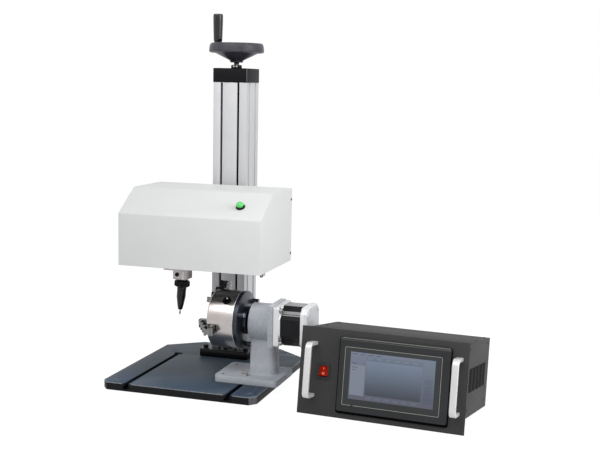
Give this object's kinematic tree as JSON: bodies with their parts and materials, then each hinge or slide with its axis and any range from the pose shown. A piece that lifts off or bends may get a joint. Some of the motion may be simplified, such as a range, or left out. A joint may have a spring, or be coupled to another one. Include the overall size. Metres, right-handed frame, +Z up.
{
  "type": "nameplate marking machine",
  "caption": "Dot-peen marking machine: slotted base, screw-lifted head with a cross-slide stylus, rotary chuck for round work, and a separate touch-screen control box.",
  "frame": {"origin": "underside of the base plate on the column's axis", "axes": "+Z up along the column, +Y to the machine's back, +X to the machine's right, towards the rotary chuck's motor"},
  "size_m": [0.7899, 0.4614, 0.8029],
  "materials": {
    "plate_paint": "satin dark slate powder coat",
    "black_oxide": "satin black",
    "anodised": "natural anodised",
    "ground_steel": "ground",
    "bright_steel": "polished",
    "bronze": "machined",
    "wheel_plastic": "fine texture",
    "gloss_black": "gloss",
    "head_paint": "light grey powder coat",
    "casting_paint": "grey blue enamel",
    "blued_steel": "blued",
    "cast_aluminium": "cast and machined",
    "lamination": "satin black",
    "box_paint": "dark grey powder coat",
    "bezel_plastic": "fine texture",
    "screen_glass": "lit screen",
    "handle_silver": "satin",
    "rocker_red": "gloss",
    "button_green": "gloss"
  },
  "bodies": {
    "stand": {"base_plate": "plate_paint", "column_foot": "black_oxide", "column_extrusion": "anodised", "column_cover_strip": "anodised", "column_top_cap": "black_oxide", "guide_rod_left": "ground_steel", "guide_rod_right": "ground_steel", "screw_lower_bearing": "bright_steel", "rotary_bracket": "casting_paint", "spindle_bearing": "bright_steel", "motor_front_bell": "cast_aluminium", "motor_stator": "lamination", "motor_rear_bell": "cast_aluminium", "control_panel": "box_paint", "control_tray": "box_paint", "control_lid": "box_paint", "control_handle_left": "handle_silver", "control_handle_right": "handle_silver", "screen_frame": "bezel_plastic", "screen_glass": "screen_glass", "switch_housing": "gloss_black", "power_inlet": "gloss_black", "rear_ports": "cast_aluminium", "power_supply": "cast_aluminium"},
    "lift_screw": {"lead_screw": "ground_steel", "shaft_collar": "black_oxide", "handwheel": "wheel_plastic"},
    "grip": {"handwheel_grip": "gloss_black"},
    "head": {"lift_carriage": "cast_aluminium", "lift_nut": "bronze", "head_back_plate": "cast_aluminium", "head_cover": "head_paint", "stage_plate": "black_oxide", "y_rail_left": "ground_steel", "y_rail_right": "ground_steel", "y_motor": "lamination", "button_bezel": "gloss_black", "air_fitting": "black_oxide"},
    "button": {"start_button": "button_green"},
    "y_drive_screw": {"y_screw": "ground_steel"},
    "bridge": {"y_bridge": "cast_aluminium", "x_rail": "ground_steel", "x_motor": "lamination"},
    "x_drive_screw": {"x_screw": "ground_steel"},
    "slide": {"x_slide": "cast_aluminium", "pin_holder": "bright_steel", "stylus_collar": "black_oxide", "stylus_body": "black_oxide"},
    "needle": {"stylus_needle": "ground_steel"},
    "chuck": {"chuck_body": "bright_steel", "chuck_adapter": "blued_steel", "spindle": "ground_steel"},
    "scroll": {"chuck_scroll": "ground_steel"},
    "rocker": {"power_rocker": "rocker_red"},
    "pinion_1": {"chuck_pinion_1": "black_oxide"},
    "jaw_1": {"chuck_jaw_1": "ground_steel"},
    "pinion_2": {"chuck_pinion_2": "black_oxide"},
    "jaw_2": {"chuck_jaw_2": "ground_steel"},
    "pinion_3": {"chuck_pinion_3": "black_oxide"},
    "jaw_3": {"chuck_jaw_3": "ground_steel"}
  },
  "joints": [
    {"name": "handwheel_turn", "type": "hinge", "parent": "stand", "child": "lift_screw", "pos_m": [0, 0, 0.6973], "axis": [0, 0, 1], "range_deg": [-19810, 2710]},
    {"name": "grip_spin", "type": "hinge", "parent": "lift_screw", "child": "grip", "pos_m": [-0.03994, -0.01509, 0.7423], "axis": [0, 0, 1], "continuous": true},
    {"name": "head_lift", "type": "slide", "parent": "stand", "child": "head", "axis": [0, 0, 1], "range_m": [-0.03, 0.22]},
    {"name": "start_button", "type": "slide", "parent": "head", "child": "button", "axis": [0, 0.5485, -0.8361], "range_m": [0, 0.0025], "stiffness_N_per_m": 600},
    {"name": "y_screw_turn", "type": "hinge", "parent": "head", "child": "y_drive_screw", "pos_m": [0.1, -0.232, 0.2863], "axis": [0, 1, 0], "range_deg": [-2530, 3970]},
    {"name": "y_travel", "type": "slide", "parent": "head", "child": "bridge", "axis": [0, 1, 0], "range_m": [-0.035, 0.055]},
    {"name": "x_screw_turn", "type": "hinge", "parent": "bridge", "child": "x_drive_screw", "pos_m": [0.1, -0.1575, 0.3338], "axis": [1, 0, 0], "range_deg": [-3898, 2890]},
    {"name": "x_travel", "type": "slide", "parent": "bridge", "child": "slide", "axis": [1, 0, 0], "range_m": [-0.054, 0.04]},
    {"name": "needle_strike", "type": "slide", "parent": "slide", "child": "needle", "axis": [-0.0785, 0, -0.9969], "range_m": [0, 0.005], "stiffness_N_per_m": 500},
    {"name": "chuck_spin", "type": "hinge", "parent": "stand", "child": "chuck", "pos_m": [0.0345, -0.193, 0.143], "axis": [1, 0, 0], "continuous": true},
    {"name": "scroll_turn", "type": "hinge", "parent": "chuck", "child": "scroll", "pos_m": [0.0345, -0.193, 0.143], "axis": [1, 0, 0], "range_deg": [-221.5, 1373.5]},
    {"name": "power_rocker", "type": "hinge", "parent": "stand", "child": "rocker", "pos_m": [0.3168, -0.32873, 0.08697], "axis": [0.9971, -0.0758, 0], "range_deg": [0, 18]},
    {"name": "jaw_1_slide", "type": "slide", "parent": "chuck", "child": "jaw_1", "axis": [0, -0.342, -0.9397], "range_m": [-0.00405, 0.02485]},
    {"name": "pinion_1_turn", "type": "hinge", "parent": "chuck", "child": "pinion_1", "pos_m": [0.072, -0.193, 0.143], "axis": [0, -0.6428, 0.766], "range_deg": [-669.5, 4125.5]},
    {"name": "jaw_2_slide", "type": "slide", "parent": "chuck", "child": "jaw_2", "axis": [0, 0.9848, 0.1736], "range_m": [-0.00405, 0.02485]},
    {"name": "pinion_2_turn", "type": "hinge", "parent": "chuck", "child": "pinion_2", "pos_m": [0.072, -0.193, 0.143], "axis": [0, -0.342, -0.9397], "range_deg": [-669.5, 4125.5]},
    {"name": "jaw_3_slide", "type": "slide", "parent": "chuck", "child": "jaw_3", "axis": [0, -0.6428, 0.766], "range_m": [-0.00405, 0.02485]},
    {"name": "pinion_3_turn", "type": "hinge", "parent": "chuck", "child": "pinion_3", "pos_m": [0.072, -0.193, 0.143], "axis": [0, 0.9848, 0.1736], "range_deg": [-669.5, 4125.5]}
  ],
  "couplings": [
    {"joint": "handwheel_turn", "follows": "head_lift", "rad_per_m": -1570.8},
    {"joint": "y_screw_turn", "follows": "y_travel", "rad_per_m": 1256.6},
    {"joint": "x_screw_turn", "follows": "x_travel", "rad_per_m": 1256.6},
    {"joint": "jaw_1_slide", "follows": "scroll_turn", "m_per_rad": 0.0010345},
    {"joint": "pinion_1_turn", "follows": "scroll_turn", "ratio": 3},
    {"joint": "jaw_2_slide", "follows": "scroll_turn", "m_per_rad": 0.0010345},
    {"joint": "pinion_2_turn", "follows": "scroll_turn", "ratio": 3},
    {"joint": "jaw_3_slide", "follows": "scroll_turn", "m_per_rad": 0.0010345},
    {"joint": "pinion_3_turn", "follows": "scroll_turn", "ratio": 3}
  ]
}
